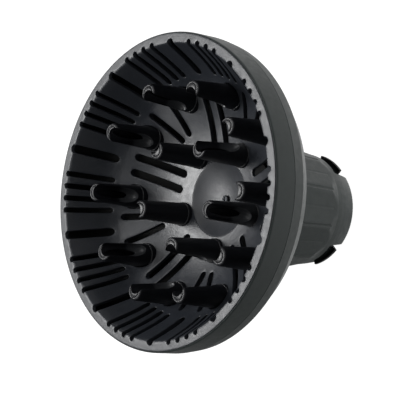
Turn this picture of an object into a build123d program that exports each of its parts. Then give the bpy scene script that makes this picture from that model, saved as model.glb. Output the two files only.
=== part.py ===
from build123d import *
import math
import os

os.makedirs("parts", exist_ok=True)

# ---------------------------------------------------------------- driving sizes (mm)
RIM_R = 80.8             # outer radius of the bowl at its mouth
HEIGHT = 115.0           # from the jaw ends of the collar to the flat rim face
WALL = 2.0               # wall of the moulded shells
FIT = 0.1                # gap left between pieces that are pushed together
PITCH = 36.0             # ten-fold pitch of the outer fingers and of the slots
INNER_PITCH = 72.0       # five-fold pitch of the inner fingers
INNER_PHASE = -18.0      # first inner finger, between two outer ones
JAW_PITCH = 120.0        # three jaws, three tongues

# mouth and slotted inner bowl, depths measured down from the rim face
RIM_OVERLAP = 0.5        # shell lip stands this far below the rim face
GRILLE_R = 80.0          # the flat ring of the mouth is 160 across
RIM_T = 2.2              # thickness of the flat rim
FACE_IN_R = 75.0         # inner edge of the flat rim face
WALL_END_R = 62.2        # foot of the steep wall
WALL_END_D = 23.2
FLOOR_ARC_R = 74.7       # section radius of the curved floor
FLOOR_ARC_C = (13.1, -33.2)   # centre of that arc: radius, depth
DISH_R = 20.1            # edge of the centre dish
DISH_EDGE_D = 41.1
DISH_MID_D = 47.0
DISH_SEAT_D = 42.3
DISH_T = 1.6
LEDGE_W = 1.5            # ledge that carries the dish

# slots of the grille
SLOT_OUT_R = 77.2
SLOT_IN_R = 62.2
WIDE_SLOT_W = 4.5
NARROW_SLOT_W = 2.8
NARROW_STEP = 4.98       # degrees between narrow slots
PAIR_OUT_R = 56.6
PAIR_IN_R = 27.0
PAIR_OFFSET = 4.3
PAIR_W = 4.0
VEE_OUT = (57.4, 6.9)    # radius and side offset of the outer end of a converging slot
VEE_IN = (40.0, 3.0)
VEE_W = 3.4

# fingers
OUTER_FINGER_R = 53.4
OUTER_TIP_D = 1.8
OUTER_ROOT_R = 6.6
OUTER_SEAT_D = 36.4
INNER_FINGER_R = 27.1
INNER_TIP_D = 9.6
INNER_ROOT_R = 6.3
INNER_SEAT_D = 45.0
TIP_R = 4.8
FINGER_WALL = 1.3
FLANGE_T = 1.0
FLANGE_W = 0.9
ROOT_RING = 0.35         # step of the ring round each root
SCOOP_R = 4.0
SCOOP_LEN = 17.5         # length of the scoop's channel, before its end ramps out
SCOOP_RAMP = 9.0         # length of that ramp, a half ellipsoid
SCOOP_LEAN = 0.102       # how fast the scoop leaves the finger axis, per mm of length
SCOOP_TIP_OFF = 3.0      # scoop axis, off the finger axis, at the tip
AIR_HOLE_W = 4.0         # pointed air hole in the floor of the scoop
AIR_HOLE_L = 16.0
AIR_HOLE_D = 11.5        # depth of its middle below the tip
ROOT_H = 6.0             # height of the straight root
TIP_BEVEL = (0.9, 1.0)   # shoulder of the tip: width and height
TIP_FLAT = 0.2           # the flat ring of the tip, below the fingertip's full height
TIP_GROOVE_R = 3.0       # narrow groove round the dome
TIP_GROOVE_D = 0.4
DOME_H = 0.5

# outer shell
SIDE_D = 12.8            # faint crease in the side band
BEVEL_TOP = (79.8, 19.5)
BEVEL_END = (71.8, 30.4)
BACK_BOW = 0.9           # outward bow of the back between the bevel and the shoulder
SHOULDER_D = 65.5        # where the back meets the neck
SHOULDER_R = 33.8
NECK_R = 28.6
NECK_END_D = 80.0
BEAD = 0.6               # height of the snap bead on the neck
BEAD_D = 73.0            # lower end of its crest
BEAD_LAND = 0.3          # clearance below the crest, in the groove
BEAD_RISE = 1.5          # length of its slopes
CREST = 0.5              # length of its crest
LIP_GAP = 0.15           # gap between the shell lip and the grille
SIDE_WALL = 2.8          # wall of the side band

# collar, ring and tongues, heights measured up from the jaw ends
COLLAR_R = 31.5          # corners between the flats, at their lower end
COLLAR_TOP_R = 33.7      # the same at the bowl
FACET_R = 30.5           # distance of the ten flats from the axis, at their lower end
FACET_TOP_R = 32.4       # the same at the bowl
COLLAR_IN_R = 28.9
FACET_END_Z = 14.5
JAW_END_R = 28.1
JAW_CHAMFER = 0.5
JAW_IN_R = 25.9
JAW_LAND_Z = 10.0        # length of the gripping land inside the jaws
JAW_LEAD_H = 3.0         # taper above that land
JAW_MID = (29.7, 8.0)    # radius and height half way up the outside of a jaw
RIDGE_H = 1.2            # bevel where the corners between the flats end
JAW_ARC = 81.0           # degrees covered by a jaw
SHELF_Z = 10.7           # edge of the collar between the jaws
TONGUE_ARC = 31.0
TONGUE_IN_R = 26.6
TONGUE_T = 1.4
TONGUE_TIP_Z = 4.2
HOOK_Z = 6.0
HOOK_R = 30.7
RING_Z = (25.0, 34.8)
RING_GAP = 0.15          # gap round the outside of the ring
HOOK_ROOT = 0.5          # how far a hook reaches into its tongue

# hub and screw
HUB_R = 4.5
LEG_W = 2.4
SPIDER_D = (57.0, 68.0)
SCREW_R = 1.3
SCREW_HEAD_R = 2.2
SCREW_HEAD_H = 1.5
SCREW_LEN = 13.0
RECESS_L = 2.4           # cross recess of the screw head
RECESS_W = 0.6
RECESS_D = 0.7


# ---------------------------------------------------------------- helpers
def height(depth):
    """Height above the jaw ends of a point this far below the rim face."""
    return HEIGHT - depth


def at(radius, depth):
    """Point of a section drawn in the XZ plane."""
    return (radius, 0, height(depth))


def spin(*lines):
    """Solid of revolution about Z, from the closed outline of a section."""
    return revolve(make_face(Curve() + list(lines)), Axis.Z)


def spin_polygon(points):
    return spin(Polyline(*points, close=True))


def tube(r_in, r_out, z_low, z_high):
    return spin_polygon([(r_in, 0, z_low), (r_out, 0, z_low), (r_out, 0, z_high), (r_in, 0, z_high)])


def rod(radius, z_low, z_high):
    rod_height = z_high - z_low
    return Pos(0, 0, z_low) * Cylinder(radius, rod_height, align=(Align.CENTER, Align.CENTER, Align.MIN))


def bowed(start, end, bow):
    """Shallow arc between two section points, bowed to the left of its direction."""
    run = (end[0] - start[0], end[2] - start[2])
    length = math.hypot(*run)
    mid_x = (start[0] + end[0]) / 2 - run[1] / length * bow
    mid_z = (start[2] + end[2]) / 2 + run[0] / length * bow
    middle = (mid_x, 0, mid_z)
    return ThreePointArc(start, middle, end)


def turned(shape, degrees):
    return Rot(0, 0, degrees) * shape


def slot_tool(start, end, width):
    """Round-ended slot cut straight down, from one end centre to the other in plan."""
    plan = SlotCenterToCenter(math.dist(start, end), width)
    angle = math.degrees(math.atan2(end[1] - start[1], end[0] - start[0]))
    middle = ((start[0] + end[0]) / 2, (start[1] + end[1]) / 2)
    placed = Pos(middle[0], middle[1], height(DISH_MID_D)) * Rot(0, 0, angle) * plan
    return extrude(placed, DISH_MID_D + WALL)


def floor_depth(radius, thickness=0.0):
    """Depth of the curved floor of the grille at a radius."""
    arc_r = FLOOR_ARC_R + thickness
    return FLOOR_ARC_C[1] + math.sqrt(arc_r**2 - (radius - FLOOR_ARC_C[0]) ** 2)


def floor_arc(r_start, r_end, thickness=0.0):
    r_mid = (r_start + r_end) / 2
    return ThreePointArc(
        at(r_start, floor_depth(r_start, thickness)),
        at(r_mid, floor_depth(r_mid, thickness)),
        at(r_end, floor_depth(r_end, thickness)),
    )


def sector(arc, r_in, r_out, z_low, z_high):
    """Block of a ring, centred on +X."""
    half = math.radians(arc / 2)
    far = 1.05 * r_out / math.cos(half)
    reach, side = far * math.cos(half), far * math.sin(half)
    plan = Polyline((0, 0), (reach, -side), (far, 0), (reach, side), close=True)
    wedge = extrude(Pos(0, 0, z_low) * make_face(plan), z_high - z_low)
    return wedge & tube(r_in, r_out, z_low, z_high)


# ---------------------------------------------------------------- front grille
def grille_shell():
    wall_len = math.hypot(FACE_IN_R - WALL_END_R, WALL_END_D)
    out_r = WALL_END_D / wall_len * WALL
    out_d = (FACE_IN_R - WALL_END_R) / wall_len * WALL
    foot = (WALL_END_R + out_r, WALL_END_D + out_d)
    slope = (FACE_IN_R - WALL_END_R) / WALL_END_D
    under_r = foot[0] + (foot[1] - RIM_T) * slope
    back_start = foot[0] - out_d / 2
    front = [at(GRILLE_R, RIM_T), at(GRILLE_R, 0), at(FACE_IN_R, 0)]
    front.append(at(WALL_END_R, floor_depth(WALL_END_R)))
    back = [at(back_start, floor_depth(back_start, WALL)), at(*foot), at(under_r, RIM_T), front[0]]
    inner_r = DISH_R - LEDGE_W
    inner_edge = Line(at(inner_r, floor_depth(inner_r)), at(inner_r, floor_depth(inner_r, WALL)))
    return spin(
        Polyline(*front),
        floor_arc(WALL_END_R, inner_r),
        inner_edge,
        floor_arc(inner_r, back_start, WALL),
        Polyline(*back),
    )


def mouth_space():
    """Everything in front of the grille surface."""
    top = [at(0, floor_depth(0)), at(0, -WALL), at(GRILLE_R, -WALL), at(GRILLE_R, 0), at(FACE_IN_R, 0)]
    top.append(at(WALL_END_R, floor_depth(WALL_END_R)))
    return spin(Polyline(*top), floor_arc(WALL_END_R, 0))


def finger_places():
    """Radius, angle, root radius and seat depth of the fifteen fingers."""
    outer = [(OUTER_FINGER_R, PITCH * i, OUTER_ROOT_R, OUTER_SEAT_D) for i in range(10)]
    inner = [
        (INNER_FINGER_R, INNER_PHASE + INNER_PITCH * i, INNER_ROOT_R, INNER_SEAT_D) for i in range(5)
    ]
    return outer + inner


def grille_slots():
    tools = []
    for i in range(10):
        meridian = PITCH * (i + 0.5)
        half = WIDE_SLOT_W / 2
        tools.append(turned(slot_tool((SLOT_IN_R + half, 0), (SLOT_OUT_R - half, 0), WIDE_SLOT_W), meridian))
        half = NARROW_SLOT_W / 2
        narrow = slot_tool((SLOT_IN_R + half, 0), (SLOT_OUT_R - half, 0), NARROW_SLOT_W)
        for step in (-1.5, -0.5, 0.5, 1.5):
            tools.append(turned(narrow, PITCH * i + step * NARROW_STEP))
    for i in range(5):
        finger_meridian = INNER_PHASE + INNER_PITCH * i
        for side in (-1, 1):
            pair_in = (PAIR_IN_R + PAIR_W / 2, side * PAIR_OFFSET)
            pair_out = (PAIR_OUT_R - PAIR_W / 2, side * PAIR_OFFSET)
            straight = slot_tool(pair_in, pair_out, PAIR_W)
            tools.append(turned(straight, finger_meridian + PITCH))
            slanted = slot_tool((VEE_IN[0], side * VEE_IN[1]), (VEE_OUT[0], side * VEE_OUT[1]), VEE_W)
            tools.append(turned(slanted, finger_meridian))
    return tools


def front_grille():
    body = grille_shell()
    body += tube(DISH_R - LEDGE_W, DISH_R + LEDGE_W, height(DISH_SEAT_D + DISH_T), height(DISH_SEAT_D))
    sockets = []
    holes = []
    for radius, angle, root_r, seat_d in finger_places():
        place = Rot(0, 0, angle) * Pos(radius, 0, 0)
        sockets.append(place * rod(root_r + FLANGE_W, height(seat_d), height(WALL_END_D)))
        holes.append(place * rod(root_r + FIT / 2, height(seat_d) - WALL, height(0)))
    body += [socket - mouth_space() for socket in sockets]
    body -= holes
    body -= rod(DISH_R, height(DISH_SEAT_D), height(0))
    body -= rod(DISH_R - LEDGE_W, height(DISH_MID_D) - WALL, height(0))
    body -= grille_slots()
    return body


# ---------------------------------------------------------------- fingers
def finger_outline(root_r, tip_d, seat_d, skin):
    """Half section of a finger about its own axis, shrunk by a skin thickness."""
    top = height(tip_d) - skin
    ring_z = height(seat_d) + ROOT_H
    points = [(0, 0, height(seat_d)), (root_r - skin, 0, height(seat_d)), (root_r - skin, 0, ring_z)]
    points.append((root_r - skin - ROOT_RING, 0, ring_z))
    points.append((TIP_R - skin, 0, top - TIP_FLAT - TIP_BEVEL[1]))
    points.append((TIP_R - skin - TIP_BEVEL[0], 0, top - TIP_FLAT))
    return points, top


def finger_solid(root_r, tip_d, seat_d):
    """Tapered tube with a stepped tip: shoulder, narrow groove and low central dome."""
    points, top = finger_outline(root_r, tip_d, seat_d, 0.0)
    groove_z = top - TIP_FLAT - TIP_GROOVE_D
    dome_r = TIP_GROOVE_R - TIP_GROOVE_D
    points += [(TIP_GROOVE_R + TIP_FLAT, 0, top - TIP_FLAT), (TIP_GROOVE_R, 0, groove_z), (dome_r, 0, top)]
    peak = (0, 0, top + DOME_H)
    dome = ThreePointArc(points[-1], (dome_r / 2, 0, top + 0.75 * DOME_H), peak)
    body = spin(Polyline(*points), dome, Line(peak, points[0]))
    flange_z = height(seat_d) - FLANGE_T
    return body + rod(root_r + FLANGE_W, flange_z, height(seat_d))


def scoop_tool(tip_d, extra):
    """Channel that leans away from the finger axis, towards +X, and ramps out at its end."""
    scoop_r = SCOOP_R + extra
    far = SCOOP_LEN + SCOOP_R
    channel = Cylinder(scoop_r, far, align=(Align.CENTER, Align.CENTER, Align.MIN))
    channel += scale(Sphere(scoop_r), by=(1, 1, (SCOOP_RAMP + extra) / scoop_r))
    foot = Vector(SCOOP_TIP_OFF + SCOOP_LEN * SCOOP_LEAN, 0, height(tip_d) - SCOOP_LEN)
    return Plane(origin=foot, z_dir=Vector(-SCOOP_LEAN, 0, 1)) * channel


def finger(root_r, tip_d, seat_d):
    """Hollow finger on the Z axis with its scoop facing +X."""
    outline, top = finger_outline(root_r, tip_d, seat_d, FINGER_WALL)
    hollow = spin_polygon(outline + [(0, 0, top - TIP_FLAT)])
    hollow += rod(root_r - FINGER_WALL, height(seat_d) - FLANGE_T, height(seat_d))
    hollow -= scoop_tool(tip_d, FINGER_WALL)
    air_plane = Plane(origin=(-root_r / 2, 0, height(tip_d + AIR_HOLE_D)), x_dir=(0, 0, 1), z_dir=(1, 0, 0))
    air_hole = extrude(air_plane * Ellipse(AIR_HOLE_L / 2, AIR_HOLE_W / 2), root_r)
    return finger_solid(root_r, tip_d, seat_d) - scoop_tool(tip_d, 0.0) - hollow - air_hole


def place_finger(shape, radius, angle, faces_axis):
    facing = 180 if faces_axis else 0
    return Rot(0, 0, angle) * Pos(radius, 0, 0) * Rot(0, 0, facing) * shape


# ---------------------------------------------------------------- dish, screw and hub
def dish_arc(edge_r, edge_d, mid_d):
    bow = (edge_r**2 + (mid_d - edge_d) ** 2) / (2 * (mid_d - edge_d))
    half_r = edge_r / 2
    half_d = mid_d - bow + math.sqrt(bow**2 - half_r**2)
    return ThreePointArc(at(edge_r, edge_d), at(half_r, half_d), at(0, mid_d))


def centre_dish():
    edge_r = DISH_R - FIT
    top = dish_arc(edge_r, DISH_EDGE_D, DISH_MID_D)
    under = dish_arc(edge_r - LEDGE_W, DISH_SEAT_D, DISH_MID_D + DISH_T)
    seat = Line(at(edge_r - LEDGE_W, DISH_SEAT_D), at(edge_r, DISH_SEAT_D))
    edge = Line(at(edge_r, DISH_SEAT_D), at(edge_r, DISH_EDGE_D))
    middle = Line(at(0, DISH_MID_D), at(0, DISH_MID_D + DISH_T))
    dish = spin(top, middle, under, seat, edge)
    return dish - rod(SCREW_R + FIT, height(DISH_MID_D + 2 * DISH_T), height(0))


def centre_screw():
    seat_z = height(DISH_MID_D) + FIT
    head = rod(SCREW_HEAD_R, seat_z, seat_z + SCREW_HEAD_H)
    head = fillet(head.edges().sort_by(Axis.Z)[-1], SCREW_HEAD_H * 0.6)
    blade = Box(RECESS_L, RECESS_W, RECESS_D * 2)
    recess = Pos(0, 0, seat_z + SCREW_HEAD_H) * (blade + turned(blade, 90))
    return head + rod(SCREW_R, seat_z - SCREW_LEN, seat_z) - recess


def hub_spider():
    top_z, leg_top, leg_low = height(DISH_MID_D + DISH_T), height(SPIDER_D[0]), height(SPIDER_D[1])
    ring_r = NECK_R - WALL - FIT
    body = rod(HUB_R, leg_low, top_z) + tube(ring_r - WALL, ring_r, leg_low, leg_top)
    leg_len = ring_r - WALL / 2
    leg = Pos(leg_len / 2, 0, (leg_low + leg_top) / 2) * Box(leg_len, LEG_W, leg_top - leg_low)
    body += [turned(leg, PITCH / 2 + JAW_PITCH * i) for i in range(3)]
    return body - rod(SCREW_R, top_z - SCREW_LEN, top_z)


# ---------------------------------------------------------------- outer shell
def outer_bowl():
    lip_r = GRILLE_R + LIP_GAP
    in_r = RIM_R - SIDE_WALL
    slope = math.atan2(BEVEL_END[0] - SHOULDER_R, SHOULDER_D - BEVEL_END[1])
    inner_end = at(BEVEL_END[0] - WALL * math.cos(slope), BEVEL_END[1] - WALL * math.sin(slope))
    neck_in = NECK_R - WALL
    skin_d = WALL / math.sin(slope)
    inner_shoulder = at(SHOULDER_R - (skin_d - WALL) * math.tan(slope), SHOULDER_D - WALL)
    side = [at(lip_r, RIM_OVERLAP), at(RIM_R, RIM_OVERLAP), at(RIM_R, SIDE_D), at(*BEVEL_TOP), at(*BEVEL_END)]
    shoulder = at(SHOULDER_R, SHOULDER_D)
    crest_r = NECK_R + BEAD
    neck = [shoulder, at(NECK_R, SHOULDER_D), at(NECK_R, BEAD_D - BEAD_RISE), at(crest_r, BEAD_D - CREST)]
    neck += [at(crest_r, BEAD_D), at(NECK_R, BEAD_D + BEAD_RISE), at(NECK_R, NECK_END_D)]
    neck += [at(neck_in, NECK_END_D), at(neck_in, SHOULDER_D - WALL), inner_shoulder]
    step_d = RIM_T + FIT
    inside = [inner_end, at(in_r - LIP_GAP, BEVEL_TOP[1]), at(in_r, step_d), at(lip_r, step_d), side[0]]
    return spin(
        Polyline(*side),
        bowed(side[-1], shoulder, BACK_BOW),
        Polyline(*neck),
        bowed(inner_shoulder, inner_end, -BACK_BOW),
        Polyline(*inside),
    )


# ---------------------------------------------------------------- collar, ring and tongues
def collar_blank():
    """Turned blank of the collar before the flats, gaps and jaws are cut."""
    top_z = height(SHOULDER_D) - 2 * FIT
    outside = [(JAW_IN_R, 0, 0), (JAW_END_R - JAW_CHAMFER, 0, 0), (JAW_END_R, 0, JAW_CHAMFER)]
    jaw_top = (FACET_R, 0, FACET_END_Z)
    jaw_curve = ThreePointArc(outside[-1], (JAW_MID[0], 0, JAW_MID[1]), jaw_top)
    upper = [jaw_top, (COLLAR_R, 0, FACET_END_Z + RIDGE_H), (COLLAR_TOP_R, 0, top_z), (COLLAR_IN_R, 0, top_z)]
    groove_r = COLLAR_IN_R + BEAD
    groove_top = height(BEAD_D - CREST - BEAD_LAND)
    groove_low = height(BEAD_D + BEAD_LAND)
    upper += [(COLLAR_IN_R, 0, groove_top + BEAD_RISE), (groove_r, 0, groove_top)]
    upper += [(groove_r, 0, groove_low), (COLLAR_IN_R, 0, groove_low - BEAD_RISE)]
    upper += [(COLLAR_IN_R, 0, JAW_LAND_Z + JAW_LEAD_H), (JAW_IN_R, 0, JAW_LAND_Z), (JAW_IN_R, 0, 0)]
    return spin(Polyline(*outside), jaw_curve, Polyline(*upper))


def adapter_collar():
    body = collar_blank()
    flat_h = height(SHOULDER_D) - FACET_END_Z
    flat_w = 2 * math.tan(math.radians(PITCH / 2)) * FACET_TOP_R
    lean = math.degrees(math.atan2(FACET_TOP_R - FACET_R, flat_h))
    flat = Pos(WALL, 0, flat_h / 2) * Box(2 * WALL, flat_w, flat_h)
    flat = Pos(FACET_R, 0, FACET_END_Z) * Rot(0, lean, 0) * flat
    for i in range(10):
        body -= turned(flat, PITCH * i)
    gap_arc = JAW_PITCH - JAW_ARC
    for i in range(3):
        middle = JAW_PITCH * (i + 0.5)
        body -= turned(sector(gap_arc, TONGUE_IN_R - 2 * WALL, COLLAR_R + WALL, -1.0, SHELF_Z), middle)
        relief = sector(gap_arc, TONGUE_IN_R - 2 * WALL, COLLAR_IN_R + FIT, SHELF_Z - 1.0, RING_Z[0])
        body -= turned(relief, middle)
    return body


def spring_ring():
    return tube(TONGUE_IN_R, COLLAR_IN_R - RING_GAP, RING_Z[0], RING_Z[1])


def grip_tongue():
    """Sprung tongue centred on +X, with an outward hook near its end."""
    out_r = TONGUE_IN_R + TONGUE_T
    root_z = RING_Z[0] - FIT
    strip = sector(TONGUE_ARC, TONGUE_IN_R, out_r, TONGUE_TIP_Z, root_z)
    hook = sector(TONGUE_ARC, out_r - HOOK_ROOT, HOOK_R, TONGUE_TIP_Z, HOOK_Z)
    return strip + hook


# ---------------------------------------------------------------- write the pieces
def write(shape, node):
    export_step(shape, f"parts/{node}.step")


write(outer_bowl(), "outer_bowl")
write(front_grille(), "front_grille")
write(centre_dish(), "centre_dish")
write(centre_screw(), "centre_screw")
write(hub_spider(), "hub_spider")
write(adapter_collar(), "adapter_collar")
write(spring_ring(), "spring_ring")

long_finger = finger(OUTER_ROOT_R, OUTER_TIP_D, OUTER_SEAT_D)
for number in range(10):
    placed_finger = place_finger(long_finger, OUTER_FINGER_R, PITCH * number, True)
    write(placed_finger, f"finger_outer_{number + 1:02d}")

short_finger = finger(INNER_ROOT_R, INNER_TIP_D, INNER_SEAT_D)
for number in range(5):
    finger_angle = INNER_PHASE + INNER_PITCH * number
    placed_finger = place_finger(short_finger, INNER_FINGER_R, finger_angle, False)
    write(placed_finger, f"finger_inner_{number + 1}")

tongue = grip_tongue()
for number in range(3):
    write(turned(tongue, JAW_PITCH * (number + 0.5)), f"grip_tongue_{number + 1}")
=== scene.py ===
import math

import bpy
import numpy as np
from mathutils import Matrix, Vector, geometry


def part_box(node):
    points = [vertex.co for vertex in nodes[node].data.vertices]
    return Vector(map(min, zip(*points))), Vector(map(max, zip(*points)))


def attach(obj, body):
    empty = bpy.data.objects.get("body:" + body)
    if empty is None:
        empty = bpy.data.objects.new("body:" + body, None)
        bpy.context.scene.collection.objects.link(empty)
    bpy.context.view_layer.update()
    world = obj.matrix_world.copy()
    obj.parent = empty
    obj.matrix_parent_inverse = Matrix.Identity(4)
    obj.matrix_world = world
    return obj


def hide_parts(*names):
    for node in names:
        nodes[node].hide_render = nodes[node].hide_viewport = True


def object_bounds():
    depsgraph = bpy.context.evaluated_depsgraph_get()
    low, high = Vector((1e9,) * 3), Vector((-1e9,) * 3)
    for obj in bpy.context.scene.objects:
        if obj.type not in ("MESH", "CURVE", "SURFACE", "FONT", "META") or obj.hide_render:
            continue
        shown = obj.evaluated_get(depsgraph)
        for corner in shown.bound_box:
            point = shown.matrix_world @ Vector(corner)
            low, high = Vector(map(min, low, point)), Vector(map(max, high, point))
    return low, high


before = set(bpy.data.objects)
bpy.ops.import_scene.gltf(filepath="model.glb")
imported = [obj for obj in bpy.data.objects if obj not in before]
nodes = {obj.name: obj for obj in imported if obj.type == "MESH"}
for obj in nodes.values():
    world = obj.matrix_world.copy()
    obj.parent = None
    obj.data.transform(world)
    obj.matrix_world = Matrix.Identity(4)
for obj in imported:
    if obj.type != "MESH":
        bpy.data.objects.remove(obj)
cad_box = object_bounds()

MM = 0.001
BODY = "diffuser"


# ---------------------------------------------------------------- sizes, in mm, from the frame
def box_mm(node):
    low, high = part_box(node)
    return np.array(low) / MM, np.array(high) / MM


grille_high = box_mm("front_grille")[1]
dish_high = box_mm("centre_dish")[1]
collar_high = box_mm("adapter_collar")[1]
TOP = grille_high[2]                     # height of the flat rim face
RIM_R = box_mm("outer_bowl")[1][0]
GRILLE_R = grille_high[0]
DISH_R = dish_high[0]
WALL = 2.0
PITCH = 36.0                             # degrees between outer fingers, and between flats
CLOUD = 0.12                             # share by which a plastic's colour drifts
SLOT_IN_R = 62.2                         # ends of the slots in the wall
SLOT_OUT_R = 77.2
PAIR_ENDS_R = (29.0, 54.6)               # arc centres of the parallel slots in the floor
PAIR_OFFSET = 4.3
VEE_ENDS = ((40.0, 3.0), (57.4, 6.9))    # radius and side offset of the converging slots' arc centres
CREASE_D = 12.8                          # depth of the crease in the side band
TAPER_END_D = 19.5                       # depth where the side band turns into the bevel
NECK_R = 28.6
NECK_END_D = 80.0
BEAD_R = 29.2                            # crest of the snap bead on the neck
HOOK_ROOT_R = 27.5                       # where a tongue's hook starts, out from the axis
SCOOP_R = 4.0
SCOOP_LEN = 17.5                         # from the fingertip to the start of the scoop's ramp
SCOOP_RAMP = 8.0                         # length of that ramp
LEAN = 0.102                             # how fast the scoop leaves the finger's axis
SCOOP_TIP_X = 3.0                        # the scoop's distance from the finger's axis, at the tip
SCOOP_FOOT_X = SCOOP_TIP_X + SCOOP_LEN * LEAN
BACK_SLOPE = 1.0826                      # radius over height along the bowl's back
BEVEL_SLOPE = 0.734                      # the same along its bevel
FLOOR_R = 9                              # metres


def height(depth):
    return TOP - depth


BEVEL_END = (71.8, height(30.4))         # radius and height where the bowl's back begins
SHOULDER = (33.8, height(65.5))          # where the back meets the neck


# ---------------------------------------------------------------- mesh helpers
def new_piece(name, verts, faces, body, material):
    """Mesh object from points in mm, smooth shaded."""
    mesh = bpy.data.meshes.new(name)
    mesh.from_pydata((np.asarray(verts) * MM).tolist(), [], [list(map(int, f)) for f in faces])
    mesh.validate()
    mesh.shade_smooth()
    piece = bpy.data.objects.new(name, mesh)
    bpy.context.scene.collection.objects.link(piece)
    piece.data.materials.append(material)
    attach(piece, body)
    return piece


def mark_sharp(piece, angle):
    piece.data.set_sharp_from_angle(angle=math.radians(angle))


def rounded(points, radii, steps=4, closed=True):
    """Section outline with an arc of the given radius at each corner, 0 for none."""
    out = []
    count = len(points)
    for i in range(count):
        here = np.array(points[i], float)
        radius = radii[i] if isinstance(radii, (list, tuple)) else radii
        if radius == 0 or (not closed and i in (0, count - 1)):
            out.append(tuple(here))
            continue
        back = np.array(points[i - 1], float) - here
        ahead = np.array(points[(i + 1) % count], float) - here
        len_back, len_ahead = np.linalg.norm(back), np.linalg.norm(ahead)
        back, ahead = back / len_back, ahead / len_ahead
        half = math.acos(max(-1.0, min(1.0, float(back @ ahead)))) / 2
        if half > math.radians(89):
            out.append(tuple(here))
            continue
        reach = min(radius / math.tan(half), 0.45 * len_back, 0.45 * len_ahead)
        radius = reach * math.tan(half)
        middle = (back + ahead) / np.linalg.norm(back + ahead)
        centre = here + middle * radius / math.sin(half)
        start, end = here + back * reach - centre, here + ahead * reach - centre
        for k in range(steps + 1):
            way = start * (1 - k / steps) + end * (k / steps)
            out.append(tuple(centre + way / np.linalg.norm(way) * radius))
    return out


def arc_points(start, end, bow, count):
    """Points of a shallow arc between two section points, bowed to its left."""
    start, end = np.array(start, float), np.array(end, float)
    run = end - start
    left = np.array([-run[1], run[0]]) / np.linalg.norm(run)
    return [tuple(start + run * t + left * bow * 4 * t * (1 - t)) for t in np.linspace(0, 1, count)]


def lathe(name, outline, segments, body, material, split=38):
    """Closed turned body from a closed outline of (radius, height), anticlockwise."""
    ring = len(outline)
    verts = []
    for i in range(segments):
        a = 2 * math.pi * i / segments
        verts += [(r * math.cos(a), r * math.sin(a), z) for r, z in outline]
    faces = []
    for i in range(segments):
        base, after = i * ring, (i + 1) % segments * ring
        for j in range(ring):
            k = (j + 1) % ring
            faces.append((base + j, after + j, after + k, base + k))
    piece = new_piece(name, verts, faces, body, material)
    mark_sharp(piece, split)
    return piece


# ---------------------------------------------------------------- solids from a distance field
def outline_distance(r, z, outline):
    """Signed distance to a closed section outline, negative inside."""
    best = np.full(r.shape, 1e9)
    inside = np.zeros(r.shape, bool)
    for (ar, az), (br, bz) in zip(outline, outline[1:] + outline[:1]):
        er, ez = br - ar, bz - az
        wr, wz = r - ar, z - az
        t = np.clip((wr * er + wz * ez) / (er * er + ez * ez + 1e-12), 0, 1)
        best = np.minimum(best, (wr - er * t) ** 2 + (wz - ez * t) ** 2)
        if az != bz:
            inside ^= ((az > z) != (bz > z)) & (r < er * (z - az) / ez + ar)
    distance = np.sqrt(best)
    return np.where(inside, -distance, distance)


def capsule_distance(x, y, z, start, end, radius):
    start, end = np.array(start, float), np.array(end, float)
    run = end - start
    t = ((x - start[0]) * run[0] + (y - start[1]) * run[1] + (z - start[2]) * run[2]) / (run @ run)
    t = np.clip(t, 0, 1)
    dx, dy, dz = x - start[0] - run[0] * t, y - start[1] - run[1] * t, z - start[2] - run[2] * t
    return np.sqrt(dx * dx + dy * dy + dz * dz) - radius


def soft_max(a, b, width):
    share = np.maximum(width - np.abs(a - b), 0) / width
    return np.maximum(a, b) + share * share * width / 4


def surface_net(field, low, high, step):
    """Quads of the zero surface of a field, one point in each cell that it crosses."""
    axes = [np.arange(low[i], high[i] + step, step) for i in range(3)]
    grid = np.meshgrid(*axes, indexing="ij")
    value = field(*grid)
    inside = value < 0
    cells = tuple(n - 1 for n in value.shape)
    total = np.zeros(cells + (3,))
    hits = np.zeros(cells)
    corner = [(i, j, k) for i in (0, 1) for j in (0, 1) for k in (0, 1)]

    def part(array, c):
        return array[c[0]:c[0] + cells[0], c[1]:c[1] + cells[1], c[2]:c[2] + cells[2]]

    for c in corner:
        for axis in range(3):
            if c[axis]:
                continue
            d = tuple(1 if n == axis else c[n] for n in range(3))
            v0, v1 = part(value, c), part(value, d)
            cross = part(inside, c) != part(inside, d)
            t = np.where(cross, v0 / np.where(cross, v0 - v1, 1), 0)
            for n in range(3):
                place = part(grid[n], c) + (t * step if n == axis else 0)
                total[..., n] += np.where(cross, place, 0)
            hits += cross
    mixed = hits > 0
    number = -np.ones(cells, int)
    number[mixed] = np.arange(mixed.sum())
    points = total[mixed] / hits[mixed][:, None]
    quads = []
    for axis in range(3):
        one, two = (axis + 1) % 3, (axis + 2) % 3
        low_side = [slice(1, -1)] * 3
        high_side = [slice(1, -1)] * 3
        low_side[axis], high_side[axis] = slice(0, -1), slice(1, None)
        first, second = inside[tuple(low_side)], inside[tuple(high_side)]

        def cell(d_one, d_two):
            cut = [slice(1, None)] * 3
            cut[axis] = slice(0, None)
            cut[one] = slice(1 + d_one, cells[one] + d_one)
            cut[two] = slice(1 + d_two, cells[two] + d_two)
            return number[tuple(cut)]

        ring = [cell(-1, -1), cell(0, -1), cell(0, 0), cell(-1, 0)]
        out = first & ~second
        back = second & ~first
        quads.append(np.stack([r[out] for r in ring], 1))
        quads.append(np.stack([r[back] for r in ring[::-1]], 1))
    return points, np.concatenate(quads)


def gradient(field, points, reach=0.02):
    out = np.zeros_like(points)
    for n in range(3):
        step = np.zeros(3)
        step[n] = reach
        out[:, n] = (field(*(points + step).T) - field(*(points - step).T)) / (2 * reach)
    return out


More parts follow.
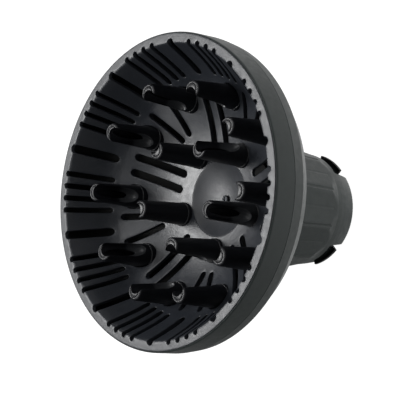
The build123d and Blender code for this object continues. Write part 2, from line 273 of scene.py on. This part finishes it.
def onto_surface(field, points, rounds, limit):
    for _ in range(rounds):
        slope = gradient(field, points)
        size = np.maximum((slope**2).sum(1), 0.1)
        move = -slope * (field(*points.T) / size)[:, None]
        length = np.linalg.norm(move, axis=1)
        points = points + move * np.minimum(1, limit / np.maximum(length, 1e-9))[:, None]
    return points


def field_mesh(name, field, low, high, step, keep):
    """Mesh of a field's zero surface, thinned to a share of its faces."""
    points, quads = surface_net(field, low, high, step)
    points = onto_surface(field, points, 3, step / 2)
    mesh = bpy.data.meshes.new(name)
    mesh.from_pydata(points.tolist(), [], quads.tolist())
    helper = bpy.data.objects.new(name + "_helper", mesh)
    bpy.context.scene.collection.objects.link(helper)
    thin = helper.modifiers.new("thin", "DECIMATE")
    thin.ratio = keep
    done = bpy.data.meshes.new_from_object(helper.evaluated_get(bpy.context.evaluated_depsgraph_get()))
    bpy.data.objects.remove(helper)
    bpy.data.meshes.remove(mesh)
    points = np.zeros(len(done.vertices) * 3)
    done.vertices.foreach_get("co", points)
    points = onto_surface(field, points.reshape(-1, 3), 2, step / 4)
    normals = gradient(field, points)
    normals /= np.maximum(np.linalg.norm(normals, axis=1), 1e-9)[:, None]
    done.vertices.foreach_set("co", (points * MM).ravel())
    done.shade_smooth()
    done.normals_split_custom_set_from_vertices(normals.tolist())
    done.name = name
    return done


# ---------------------------------------------------------------- materials
def plastic(name, colour, rough, grain, grain_mm=0.35, spec=0.5, grain_high=0.06):
    """Moulded plastic: cloudy colour, spark-eroded grain, uneven gloss."""
    m = bpy.data.materials.new(name)
    m.use_nodes = True
    tree = m.node_tree
    n, link = tree.nodes, tree.links.new
    shader = n["Principled BSDF"]
    shader.inputs["Specular IOR Level"].default_value = spec
    place = n.new("ShaderNodeTexCoord").outputs["Object"]

    def noise(scale_mm, detail, rough_in=0.5):
        node = n.new("ShaderNodeTexNoise")
        node.inputs["Scale"].default_value = 1 / (scale_mm * MM)
        node.inputs["Detail"].default_value = detail
        node.inputs["Roughness"].default_value = rough_in
        link(place, node.inputs["Vector"])
        return node.outputs["Fac"]

    def ramp(source, low, high, a, b):
        node = n.new("ShaderNodeMapRange")
        node.inputs["From Min"].default_value = low
        node.inputs["From Max"].default_value = high
        node.inputs["To Min"].default_value = a
        node.inputs["To Max"].default_value = b
        link(source, node.inputs["Value"])
        return node.outputs["Result"]

    clouds = noise(14, 3)
    speck = noise(grain_mm * 1.6, 2, 0.7)
    shade = n.new("ShaderNodeMix")
    shade.data_type = "RGBA"
    shade.inputs["A"].default_value = (*[c * (1 - CLOUD) for c in colour], 1)
    shade.inputs["B"].default_value = (*[c * (1 + CLOUD) for c in colour], 1)
    mixed = n.new("ShaderNodeMath")
    mixed.operation = "ADD"
    link(ramp(clouds, 0.3, 0.7, 0, 0.6), mixed.inputs[0])
    link(ramp(speck, 0.3, 0.7, 0, 0.4), mixed.inputs[1])
    link(mixed.outputs[0], shade.inputs["Factor"])
    link(shade.outputs["Result"], shader.inputs["Base Color"])
    link(ramp(noise(3.0, 3), 0.3, 0.7, rough - 0.05, rough + 0.05), shader.inputs["Roughness"])
    bump = n.new("ShaderNodeBump")
    bump.inputs["Strength"].default_value = grain
    bump.inputs["Distance"].default_value = grain_high * MM
    link(noise(grain_mm, 3, 0.6), bump.inputs["Height"])
    link(bump.outputs["Normal"], shader.inputs["Normal"])
    return m


def object_place(material):
    return material.node_tree.nodes.new("ShaderNodeTexCoord").outputs["Object"]


def math_node(material, operation, first, second):
    node = material.node_tree.nodes.new("ShaderNodeMath")
    node.operation = operation
    for socket, value in zip(node.inputs, (first, second)):
        if isinstance(value, (int, float)):
            socket.default_value = value
        else:
            material.node_tree.links.new(value, socket)
    return node.outputs[0]


def vector_node(material, operation, source, amount):
    node = material.node_tree.nodes.new("ShaderNodeVectorMath")
    node.operation = operation
    material.node_tree.links.new(source, node.inputs[0])
    if amount is not None:
        node.inputs[1].default_value = amount
    return node.outputs["Value" if operation == "LENGTH" else "Vector"]


def step_node(material, source, start, end):
    """0 at start, 1 at end, clamped."""
    node = material.node_tree.nodes.new("ShaderNodeMapRange")
    node.inputs["From Min"].default_value = start
    node.inputs["From Max"].default_value = end
    material.node_tree.links.new(source, node.inputs["Value"])
    return node.outputs["Result"]


def radius_and_height(material):
    place = object_place(material)
    radius = vector_node(material, "LENGTH", vector_node(material, "MULTIPLY", place, (1, 1, 0)), None)
    split = material.node_tree.nodes.new("ShaderNodeSeparateXYZ")
    material.node_tree.links.new(place, split.inputs[0])
    return radius, split.outputs["Z"]


def recolour(material, mask, colour):
    """Turns the plastic to another colour where the mask is 1."""
    tree = material.node_tree
    target = tree.nodes["Principled BSDF"].inputs["Base Color"]
    mix = tree.nodes.new("ShaderNodeMix")
    mix.data_type = "RGBA"
    tree.links.new(mask, mix.inputs["Factor"])
    tree.links.new(target.links[0].from_socket, mix.inputs["A"])
    mix.inputs["B"].default_value = (*colour, 1)
    tree.links.new(mix.outputs["Result"], target)


def line_node(material, source, slope, start):
    """slope * source + start."""
    result = math_node(material, "MULTIPLY_ADD", source, slope)
    result.node.inputs[2].default_value = start
    return result


def painted_shade_inside_bowl(material):
    """1 on the hidden inner face of the bowl, painted near black as painted shade for what shows through the
    slots; 0 on its outer skin.
    """
    radius, z = radius_and_height(material)
    back = line_node(material, z, BACK_SLOPE, (SHOULDER[0] - 0.5 - BACK_SLOPE * SHOULDER[1]) * MM)
    bevel = line_node(material, z, BEVEL_SLOPE, (BEVEL_END[0] - 0.7 - BEVEL_SLOPE * BEVEL_END[1]) * MM)
    middle = math_node(material, "MINIMUM", math_node(material, "MINIMUM", back, bevel), (RIM_R - 1.9) * MM)
    return step_node(material, math_node(material, "SUBTRACT", radius, middle), 0.0001, -0.0003)


def painted_light_scoop_ramp(material, tip_z):
    """1 on the ramp at the lower end of a finger's scoop, which is painted lighter as a painted highlight."""
    foot = (SCOOP_FOOT_X * MM, 0, (tip_z - SCOOP_LEN) * MM)
    place = vector_node(material, "SUBTRACT", object_place(material), foot)
    place = vector_node(material, "MULTIPLY", place, (1, 1, SCOOP_R / SCOOP_RAMP))
    distance = vector_node(material, "LENGTH", place, None)
    return step_node(material, distance, 1.07 * SCOOP_R * MM, SCOOP_R * MM)


def inner_strip(material):
    """1 on the tongue's strip, which keeps a plain grey; 0 on the outside of its hook, which is painted near
    black as painted shade.
    """
    return step_node(material, radius_and_height(material)[0], 0.0292, 0.0286)


def roughen(material, mask, amount):
    """Adds to the roughness where the mask is 1."""
    target = material.node_tree.nodes["Principled BSDF"].inputs["Roughness"]
    more = math_node(material, "MULTIPLY", mask, amount)
    material.node_tree.links.new(math_node(material, "ADD", target.links[0].from_socket, more), target)


def rim_face(material):
    """1 on the flat ring of the mouth."""
    return step_node(material, radius_and_height(material)[0], 0.0748, 0.0754)


def brushed(material, streak, scratch):
    """Fine streaks that run out from the middle, in the gloss and the bump."""
    tree = material.node_tree
    link = tree.links.new
    place = object_place(material)
    flat = vector_node(material, "MULTIPLY", place, (1, 1, 0))
    around = vector_node(material, "NORMALIZE", flat, None)
    noise = tree.nodes.new("ShaderNodeTexNoise")
    noise.inputs["Scale"].default_value = streak
    noise.inputs["Detail"].default_value = 4
    link(around, noise.inputs["Vector"])
    shader = tree.nodes["Principled BSDF"]
    old = shader.inputs["Roughness"].links[0].from_socket
    rough = math_node(material, "ADD", old, math_node(material, "MULTIPLY", noise.outputs["Fac"], 0.16))
    link(rough, shader.inputs["Roughness"])
    bump = shader.inputs["Normal"].links[0].from_node
    height_old = bump.inputs["Height"].links[0].from_socket
    scratches = math_node(material, "MULTIPLY", noise.outputs["Fac"], scratch)
    link(math_node(material, "ADD", height_old, scratches), bump.inputs["Height"])


PAINTED_SHADE_BLACK = (0.0012, 0.0015, 0.0015)
GREEN_GREY = (0.010, 0.016, 0.015)
shell_plastic = plastic("shell_plastic", GREEN_GREY, 0.45, 0.25, spec=0.36)
# The bowl's hidden inner face is painted near black: painted shade, seen through the slots.
recolour(shell_plastic, painted_shade_inside_bowl(shell_plastic), PAINTED_SHADE_BLACK)
grille_plastic = plastic("grille_plastic", (0.014, 0.016, 0.020), 0.36, 0.9, 1.1, grain_high=0.10)
roughen(grille_plastic, rim_face(grille_plastic), 0.10)
dish_plastic = plastic("dish_plastic", (0.018, 0.020, 0.024), 0.36, 0.7, 0.9)
brushed(dish_plastic, 22, 1.5)
collar_plastic = plastic("collar_plastic", (0.007, 0.014, 0.013), 0.45, 0.3, spec=0.34)
inner_plastic = plastic("inner_plastic", (0.004, 0.0045, 0.0045), 0.5, 0.3, spec=0.3)
tongue_plastic = plastic("tongue_plastic", (0.002, 0.0025, 0.0025), 0.42, 0.25, spec=0.22)
# The tongue is near black as painted shade on its hook's outer face; its strip is recoloured a plain grey.
recolour(tongue_plastic, inner_strip(tongue_plastic), (0.012, 0.015, 0.015))
screw_metal = plastic("screw_metal", (0.035, 0.037, 0.04), 0.55, 0.1)
screw_metal.node_tree.nodes["Principled BSDF"].inputs["Metallic"].default_value = 1.0


def finger_painted_shade_and_highlight(kind, tip_z):
    # The finger's colour is darker than the grille's plastic as painted shade on its sides; the lighter scoop
    # ramp is a painted highlight.
    material = plastic(kind + "_plastic", (0.0022, 0.0026, 0.0042), 0.42, 0.3, 0.5, spec=0.45)
    recolour(material, painted_light_scoop_ramp(material, tip_z), (0.030, 0.032, 0.035))
    return material


# ---------------------------------------------------------------- outer bowl
def build_bowl():
    lip_r = GRILLE_R + 0.15
    lip = [(RIM_R - (RIM_R - lip_r) * (1 - math.sin(t)), height(1.8 - 1.3 * math.cos(t)))
           for t in np.linspace(0, math.pi / 2, 9)]
    side = lip + [(RIM_R, height(12.6)), (RIM_R - 0.16, height(CREASE_D)), (RIM_R - 0.03, height(13.0))]
    side += [(79.8, height(TAPER_END_D)), BEVEL_END]
    radii = [0] * 12 + [1.1, 0.8]
    back = arc_points(BEVEL_END, SHOULDER, 0.9, 14)
    inner_back = arc_points((SHOULDER[0] - 0.8, height(63.5)), (70.4, height(29.0)), -0.9, 14)
    neck = [SHOULDER, (NECK_R, SHOULDER[1]), (NECK_R, height(71.5)), (BEAD_R, height(72.5))]
    neck += [(BEAD_R, height(73.0)), (NECK_R, height(74.5)), (NECK_R, height(NECK_END_D))]
    neck += [(NECK_R - WALL, height(NECK_END_D)), (NECK_R - WALL, height(63.5))]
    inner = [(77.85, height(TAPER_END_D)), (78.0, height(2.3)), (lip_r, height(2.3))]
    outline = rounded(side, radii, 5, closed=False)[:-1]
    outline += back[:-1] + rounded([back[-2]] + neck, 0.25, 3, closed=False)[1:]
    outline += inner_back + inner
    outline = outline[::-1]
    piece = lathe("outer_bowl_shell", outline, 256, BODY, shell_plastic)
    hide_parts("outer_bowl")


# ---------------------------------------------------------------- slotted grille
def smooth_low(a, b, width):
    return -soft_max(-a, -b, width)


def grille_depth(r, thick=0.0):
    """Depth of the grille under the rim face: curved floor, steep wall, flat rim."""
    floor = -33.2 + np.sqrt((74.7 + thick) ** 2 - np.clip(r - 13.1, 0, 66) ** 2)
    across = np.clip((75.0 - r) / 12.8, 0, 1)
    wall = (75.0 - r) * 23.2 / 12.8 + thick * 2.07 + 4.0 * across * (1 - across)
    return soft_max(smooth_low(floor, wall, 3.0), 0 * r + thick * 1.1, 0.6)


def stadium(start, end, radius, count):
    """Points round a slot with round ends, about evenly spaced."""
    start, end = np.array(start, float), np.array(end, float)
    run = end - start
    length = np.linalg.norm(run)
    along = run / length
    side = np.array([-along[1], along[0]])
    straight = max(2, int(length / 0.9))
    loop = []
    for k in range(count + 1):
        a = math.pi * k / count
        loop.append(end + radius * (math.sin(a) * along - math.cos(a) * side))
    for k in range(1, straight):
        loop.append(end + radius * side - run * k / straight)
    for k in range(count + 1):
        a = math.pi * k / count
        loop.append(start + radius * (-math.sin(a) * along + math.cos(a) * side))
    for k in range(1, straight):
        loop.append(start - radius * side + run * k / straight)
    return loop


def turn(point, degrees):
    a = math.radians(degrees)
    x, y = point
    return (x * math.cos(a) - y * math.sin(a), x * math.sin(a) + y * math.cos(a))


def slot_list():
    """Start, end, radius of every slot in plan."""
    slots = []
    for i in range(10):
        for offset, width in [(18.0, 4.5)] + [(s * 4.98, 2.8) for s in (-1.5, -0.5, 0.5, 1.5)]:
            angle = PITCH * i + offset
            start = turn((SLOT_IN_R + width / 2, 0), angle)
            slots.append((start, turn((SLOT_OUT_R - width / 2, 0), angle), width / 2))
    for i in range(5):
        meridian = -18.0 + 72.0 * i
        for side in (-1, 1):
            pair = [turn((r, side * PAIR_OFFSET), meridian + PITCH) for r in PAIR_ENDS_R]
            slots.append((*pair, 2.0))
            vee = [turn((r, side * offset), meridian) for r, offset in VEE_ENDS]
            slots.append((*vee, 1.7))
    return slots


def build_grille():
    slots = slot_list()
    holes = [(finger_axis(name), finger_root(name) + 0.12) for name in finger_nodes()]
    inner_r = DISH_R + 0.12
    edge = 0.28
    fractions = (0.0, 0.12, 0.45, 1.0)

    def clearance(x, y):
        """Distance from the nearest edge of a slot or hole, and of the rim."""
        best = np.minimum(np.hypot(x, y) - inner_r + 0.2, GRILLE_R - np.hypot(x, y))
        for start, end, radius in slots:
            best = np.minimum(best, capsule_distance(x, y, 0 * x, (*start, 0), (*end, 0), radius))
        for centre, radius in holes:
            best = np.minimum(best, np.hypot(x - centre[0], y - centre[1]) - radius + 0.2)
        return best

    points = []
    edges = []

    def add_loop(loop):
        first = len(points)
        points.extend(tuple(map(float, p)) for p in loop)
        edges.extend((first + k, first + (k + 1) % len(loop)) for k in range(len(loop)))

    def circle(centre, radius, count):
        turns = [2 * math.pi * k / count for k in range(count)]
        return [(centre[0] + radius * math.cos(a), centre[1] + radius * math.sin(a)) for a in turns]

    for part in fractions:
        for start, end, radius in slots:
            add_loop(stadium(start, end, radius + part * edge, 10))
        add_loop(circle((0, 0), GRILLE_R - part * edge, 360))
    for part in (0.5, 1.0):
        for centre, radius in holes:
            add_loop(circle(centre, radius + (part - 0.5) * edge, 56))
        add_loop(circle((0, 0), inner_r + (part - 0.5) * edge, 150))
    radii = list(np.arange(inner_r + 1.0, 61.0, 1.3)) + list(np.arange(61.2, 74.2, 1.0))
    radii += [74.35, 74.6, 74.8, 75.0, 75.2, 75.45, 76.2, 77.2, 78.1, 79.0]
    for number, r in enumerate(radii):
        count = int(2 * math.pi * r / 1.5)
        angle = 2 * math.pi * (np.arange(count) + 0.5 * (number % 2)) / count
        ring = np.stack([r * np.cos(angle), r * np.sin(angle)], 1)
        clear = clearance(ring[:, 0], ring[:, 1]) > edge + 0.35
        points.extend(map(tuple, ring[clear].tolist()))
    plan, _, faces, *_ = geometry.delaunay_2d_cdt([Vector(p) for p in points], edges, [], 0, 1e-6)
    plan = np.array([tuple(p) for p in plan])
    faces = np.array(faces)
    centre = plan[faces].mean(1)
    gap = clearance(centre[:, 0], centre[:, 1])
    hole_gap = np.minimum.reduce([np.hypot(*(centre - c).T) - r for c, r in holes])
    solid = (gap > 0) & (hole_gap > 0) & (np.hypot(*centre.T) > inner_r)
    faces = faces[solid]
    a, b, c = (plan[faces[:, k]] for k in range(3))
    area = (b[:, 0] - a[:, 0]) * (c[:, 1] - a[:, 1]) - (b[:, 1] - a[:, 1]) * (c[:, 0] - a[:, 0])
    faces = faces[np.abs(area) > 1e-7]
    flip = area[np.abs(area) > 1e-7] < 0
    faces[flip] = faces[flip][:, ::-1]
    used = np.unique(faces)
    renumber = -np.ones(len(plan), int)
    renumber[used] = np.arange(len(used))
    plan, faces = plan[used], renumber[faces]
    r = np.hypot(*plan.T)
    out = plan / r[:, None]
    near = np.clip(clearance(plan[:, 0], plan[:, 1]), 0, edge)
    drop = edge - np.sqrt(np.maximum(edge**2 - (edge - near) ** 2, 0))

    def surface(thick, sink):
        depth = grille_depth(r, thick)
        slope = (grille_depth(r + 0.05, thick) - grille_depth(r - 0.05, thick)) / 0.1
        size = np.sqrt(1 + slope**2)
        shift = np.where(np.abs(r - GRILLE_R) < 0.5, 0, -slope / size * sink)
        return np.column_stack([plan + out * shift[:, None], height(depth) - sink / size])

    top = surface(0.0, drop)
    low = surface(WALL, drop * 0)
    count = len(plan)
    half_edges = dict.fromkeys((int(f[k]), int(f[(k + 1) % 3])) for f in faces for k in range(3))
    rim = [e for e in half_edges if (e[1], e[0]) not in half_edges]
    walls = [(e[1], e[0], e[0] + count, e[1] + count) for e in rim]
    under = faces[:, ::-1] + count
    every = faces.tolist() + under.tolist() + walls
    both_skins = np.concatenate([top, low])
    piece = new_piece("slotted_grille", both_skins, every, BODY, grille_plastic)
    mark_sharp(piece, 50)
    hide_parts("front_grille")


# ---------------------------------------------------------------- fingers
def finger_nodes():
    return sorted(n for n in nodes if n.startswith("finger_"))


def finger_axis(node):
    low, high = box_mm(node)
    return ((low[0] + high[0]) / 2, (low[1] + high[1]) / 2)


def finger_root(node):
    low, high = box_mm(node)
    return (high[0] - low[0]) / 2 - 0.9


def scoop_distance(x, y, z, foot, radius):
    """Leaning channel that opens upwards, with a half ellipsoid as its lower end."""
    size = math.hypot(LEAN, 1)
    along = ((z - foot[2]) - LEAN * (x - foot[0])) / size
    across = ((x - foot[0]) + LEAN * (z - foot[2])) / size
    below = np.minimum(along, 0) * radius / SCOOP_RAMP
    return np.sqrt(across**2 + y**2 + below**2) - radius


def finger_field(root_r, tip_z, seat_z):
    """Hollow tapered finger about Z, its scoop towards +X."""
    top = tip_z - 0.5
    ring_z = seat_z + 6.0
    outer = [(-9, seat_z - 1.0), (root_r + 0.9, seat_z - 1.0), (root_r + 0.9, seat_z), (root_r, seat_z)]
    outer += [(root_r, ring_z - 0.15), (root_r - 0.15, ring_z), (root_r - 0.35, ring_z + 0.02)]
    outer += [(4.8, top - 1.3), (4.72, top - 0.85), (4.5, top - 0.45), (4.15, top - 0.15), (3.75, top - 0.02)]
    outer += [(3.5, top - 0.05), (3.36, top - 0.18), (3.26, top - 0.4), (3.12, top - 0.4), (3.0, top - 0.08)]
    outer += [(2.75, top + 0.1), (2.2, top + 0.24), (1.5, top + 0.36), (0.7, top + 0.46), (0.0, top + 0.5)]
    outer += [(-9, top + 0.5)]
    hollow = [(-9, seat_z - 2), (root_r - 1.3, seat_z - 2), (root_r - 1.6, ring_z), (3.5, top - 1.8)]
    hollow += [(-9, top - 1.8)]
    foot = (SCOOP_FOOT_X, 0, tip_z - SCOOP_LEN)
    air_mid = tip_z - 12.0

    def field(x, y, z):
        r = np.hypot(x, y)
        skin = outline_distance(r, z, outer)
        scoop = scoop_distance(x, y, z, foot, SCOOP_R)
        cavity = soft_max(outline_distance(r, z, hollow), 1.3 - scoop, 0.4)
        hole = 2.0 * (np.hypot(y / 2.0, (z - air_mid) / 9.5) - 1)
        hole = np.maximum(hole, np.abs(x) - 3.3)
        body = soft_max(skin, -scoop, 0.4)
        body = np.maximum(body, -cavity)
        return soft_max(body, -hole, 0.25)

    return field


def build_fingers():
    made = {}
    for node in finger_nodes():
        low, high = box_mm(node)
        kind = node.rsplit("_", 1)[0]
        root_r = finger_root(node)
        if kind not in made:
            field = finger_field(root_r, high[2], low[2] + 1.0)
            reach = root_r + 1.5
            step = 0.28
            corners = (-reach, -reach, low[2] - 0.6), (reach, reach, high[2] + 0.6)
            made[kind] = field_mesh(kind + "_mesh", field, *corners, step, 0.2)
            made[kind].materials.append(finger_painted_shade_and_highlight(kind, high[2]))
        axis = finger_axis(node)
        away = math.atan2(axis[1], axis[0])
        facing = away + (math.pi if kind == "finger_outer" else 0)
        place = Matrix.Translation((axis[0] * MM, axis[1] * MM, 0)) @ Matrix.Rotation(facing, 4, "Z")
        add_shared(node.replace("finger", "scooped_finger"), made[kind], place, BODY, node)


# ---------------------------------------------------------------- collar and tongues
def fold(angle, pitch, phase=0.0):
    """Angle from the nearest of the directions phase + n * pitch, in radians."""
    pitch, phase = math.radians(pitch), math.radians(phase)
    return (angle - phase + pitch / 2) % pitch - pitch / 2


def corner_r(z):
    """Radius of the corners between the flats."""
    return 31.5 + 0.0655 * (z - 15.7)


def flat_r(z):
    """Distance of the ten flats from the axis."""
    return 30.5 + 0.0543 * (z - 14.5)


def collar_field(top_z):
    outline = [(25.9, 0), (27.6, 0), (27.95, 0.15), (28.1, 0.5), (28.65, 2.6), (29.2, 5.2), (29.7, 8.0)]
    outline += [(30.15, 11.2), (30.5, 14.5), (31.0, 16.8), (corner_r(19.5) - 0.02, 19.5)]
    outline += [(corner_r(top_z), top_z), (28.9, top_z), (28.9, 13.0), (25.9, 10.0)]

    def field(x, y, z):
        r = np.hypot(x, y)
        angle = np.arctan2(y, x)
        body = outline_distance(r, z, outline)
        flat = r * np.cos(fold(angle, PITCH)) - flat_r(z)
        body = soft_max(body, np.minimum(flat, z - 14.0), 0.25)
        for phase, skin_r, deep, wide in ((18, corner_r, 0.30, 0.75), (0, flat_r, 0.10, 0.5)):
            line = np.hypot(r * np.sin(fold(angle, PITCH, phase)), (r - skin_r(z)) * wide / deep) - wide
            body = soft_max(body, -np.maximum(line * deep / wide, (18.5 - z) * 0.12), 0.12)
        gap_side = r * np.sin(np.clip(np.abs(fold(angle, 120, 60)) - math.radians(19.5), -1.2, 1.2))
        gap = np.maximum(gap_side, z - 10.7)
        relief = np.maximum(np.maximum(gap_side, r - 29.0), np.maximum(9.7 - z, z - 25.0))
        return soft_max(body, -np.minimum(gap, relief), 0.35)

    return field


def build_collar():
    step = 0.45
    low, high = (-35, -35, -1), (35, 35, collar_high[2] + 1)
    keep = 0.25
    mesh = field_mesh("collar_mesh", collar_field(collar_high[2]), low, high, step, keep)
    mesh.materials.append(collar_plastic)
    add_shared("faceted_collar", mesh, Matrix.Identity(4), BODY, "adapter_collar")


def tongue_field(low_z, high_z, hook_r):
    half = math.radians(15.5)

    def field(x, y, z):
        r = np.hypot(x, y)
        side = r * np.sin(np.clip(np.abs(np.arctan2(y, x)) - half, -1.2, 1.2))
        side = soft_max(side, low_z - z, 0.3)
        strip = soft_max(soft_max(side, np.abs(r - 27.3) - 0.7, 0.3), z - high_z, 0.3)
        hook = np.abs(r - (HOOK_ROOT_R + hook_r) / 2) - (hook_r - HOOK_ROOT_R) / 2
        hook = soft_max(soft_max(side, hook, 0.3), z - 6.0, 0.3)
        return np.minimum(strip, hook)

    return field


def build_tongues():
    low, high = box_mm("grip_tongue_2")
    hook_r = -low[0]
    field = tongue_field(low[2], high[2], hook_r)
    step = 0.22
    mesh = field_mesh("tongue_mesh", field, (24, -9, low[2] - 1), (32, 9, high[2] + 1), step, 0.3)
    mesh.materials.append(tongue_plastic)
    for number in (1, 2, 3):
        place = Matrix.Rotation(math.radians(120 * number - 60), 4, "Z")
        node = f"grip_tongue_{number}"
        add_shared(f"hooked_tongue_{number}", mesh, place, f"tongue_{number}", node)


def add_shared(name, mesh, place, body, node):
    """Object that shares a mesh, rides on a body and stands for a CAD node."""
    piece = bpy.data.objects.new(name, mesh)
    bpy.context.scene.collection.objects.link(piece)
    piece.matrix_world = place
    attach(piece, body)
    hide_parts(node)


# ---------------------------------------------------------------- centre dish
def build_dish():
    edge_r, mid_z, edge_z = DISH_R, height(47.0), dish_high[2]
    bow = edge_z - mid_z
    top = [(r, mid_z + bow * (r / edge_r) ** 2) for r in np.linspace(1.4, edge_r - 0.25, 24)]
    under = [(r, mid_z - 1.6 + (bow - 1.2 + 1.6) * (r / 18.6) ** 2) for r in np.linspace(18.6, 1.4, 12)]
    edge = [(edge_r - 0.06, edge_z - 0.1), (edge_r, edge_z - 0.3), (edge_r, edge_z - 1.2)]
    outline = (top + edge + under)[::-1]
    piece = lathe("brushed_dish", outline, 160, BODY, dish_plastic)
    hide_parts("centre_dish")


build_bowl()
build_grille()
build_fingers()
build_collar()
build_tongues()
build_dish()

# ---------------------------------------------------------------- carried-over CAD nodes
CARRIED = {
    "centre_screw": screw_metal,
    "hub_spider": inner_plastic,
    "spring_ring": inner_plastic,
}
for carried_node, finish in CARRIED.items():
    nodes[carried_node].data.materials.clear()
    nodes[carried_node].data.materials.append(finish)

# ---------------------------------------------------------------- stage, lights, camera
def floor_material():
    m = bpy.data.materials.new("floor_white")
    m.use_nodes = True
    shader = m.node_tree.nodes["Principled BSDF"]
    shader.inputs["Base Color"].default_value = (0.12, 0.12, 0.12, 1)
    shader.inputs["Roughness"].default_value = 0.9
    shader.inputs["Specular IOR Level"].default_value = 0.1
    shader.inputs["Emission Color"].default_value = (1, 1, 1, 1)
    shader.inputs["Emission Strength"].default_value = 1.0
    return m


def build_floor():
    mesh = bpy.data.meshes.new("stage_floor")
    count = 96
    turns = [2 * math.pi * k / count for k in range(count)]
    ring = [(FLOOR_R * math.cos(a), FLOOR_R * math.sin(a), 0) for a in turns]
    mesh.from_pydata(ring, [], [tuple(range(count))])
    floor = bpy.data.objects.new("stage_floor", mesh)
    floor.location.z = cad_box[0][2] - 0.0001
    mesh.materials.append(floor_material())
    bpy.context.scene.collection.objects.link(floor)
    floor.visible_glossy = False


SKY = 0.02                               # strength of the dark sky overhead


def area_light(name, place, target, size, power):
    data = bpy.data.lights.new(name, "AREA")
    data.shape = "DISK"
    data.size = size
    data.energy = power
    lamp = bpy.data.objects.new(name, data)
    lamp.location = place
    lamp.rotation_mode = "QUATERNION"
    lamp.rotation_quaternion = (Vector(target) - Vector(place)).to_track_quat("-Z", "Y")
    lamp.visible_camera = False
    bpy.context.scene.collection.objects.link(lamp)


def build_world():
    """Dark sky overhead, pale sides that fade towards -Y, a bright ring low down, dark straight below."""
    world = bpy.data.worlds.new("studio")
    world.use_nodes = True
    n, link = world.node_tree.nodes, world.node_tree.links.new
    bpy.context.scene.world = world
    coord = n.new("ShaderNodeTexCoord").outputs["Generated"]
    split = n.new("ShaderNodeSeparateXYZ")
    link(coord, split.inputs[0])

    def fall(source, start, end, first, last):
        node = n.new("ShaderNodeMapRange")
        node.interpolation_type = "SMOOTHSTEP"
        for key, value in (("From Min", start), ("From Max", end), ("To Min", first), ("To Max", last)):
            node.inputs[key].default_value = value
        link(source, node.inputs["Value"])
        return node.outputs["Result"]

    def combine(operation, first, second, factor=None):
        node = n.new("ShaderNodeMath")
        node.operation = operation
        link(first, node.inputs[0])
        if factor is None:
            link(second, node.inputs[1])
        else:
            node.inputs[1].default_value = factor
            link(second, node.inputs[2])
        return node.outputs[0]

    across = combine("MULTIPLY_ADD", split.outputs["X"], split.outputs["Y"], 0.6)
    sky = fall(split.outputs["Z"], 0.06, 0.22, 1.0, SKY)
    side = fall(across, -1.0, 0.5, 0.25, 1.05)
    under = fall(split.outputs["Z"], -1.0, -0.93, 0.3, 1.0)
    glow = fall(split.outputs["Z"], -0.90, -0.80, 1.8, 1.0)
    below = combine("MULTIPLY", under, glow)
    link(combine("MULTIPLY", combine("MULTIPLY", sky, side), below), n["Background"].inputs["Strength"])
    n["Background"].inputs["Color"].default_value = (1, 1, 1, 1)


CAMERA_PLACE = (0.5766, -0.0514, 0.6266)
CAMERA_RIGHT = (0.68483, 0.06567, -0.72574)
CAMERA_UP = (0.00055, 0.99588, 0.09064)
CAMERA_BACK = (0.72871, -0.06247, 0.68197)
LENS = 138.8


def build_camera():
    data = bpy.data.cameras.new("camera")
    data.sensor_width = 36
    data.lens = LENS
    data.clip_start, data.clip_end = 0.01, 50
    camera = bpy.data.objects.new("camera", data)
    turned = Matrix((CAMERA_RIGHT, CAMERA_UP, CAMERA_BACK)).transposed().to_4x4()
    camera.matrix_world = Matrix.Translation(CAMERA_PLACE) @ turned
    bpy.context.scene.collection.objects.link(camera)
    bpy.context.scene.camera = camera


build_floor()
build_world()
build_camera()
rim_centre = Vector((0, 0, cad_box[1][2]))
LIGHT_AWAY = 0.9                         # metres from the rim to every light
for light_name, direction, size, power in (
    ("key_high", (-0.50, 0.02, 0.866), 0.5, 7.0),
    ("key_low", (-0.62, 0.10, 0.778), 0.5, 4.5),
    ("top", (0.20, 0.55, 0.81), 0.6, 2.6),
    ("front", (0.55, -0.05, 0.83), 0.6, 0.9),
    ("bottom", (-0.20, -0.60, 0.77), 0.6, 1.7),
):
    area_light(light_name, rim_centre + LIGHT_AWAY * Vector(direction).normalized(), rim_centre, size, power)
bpy.context.scene.view_settings.view_transform = "Standard"
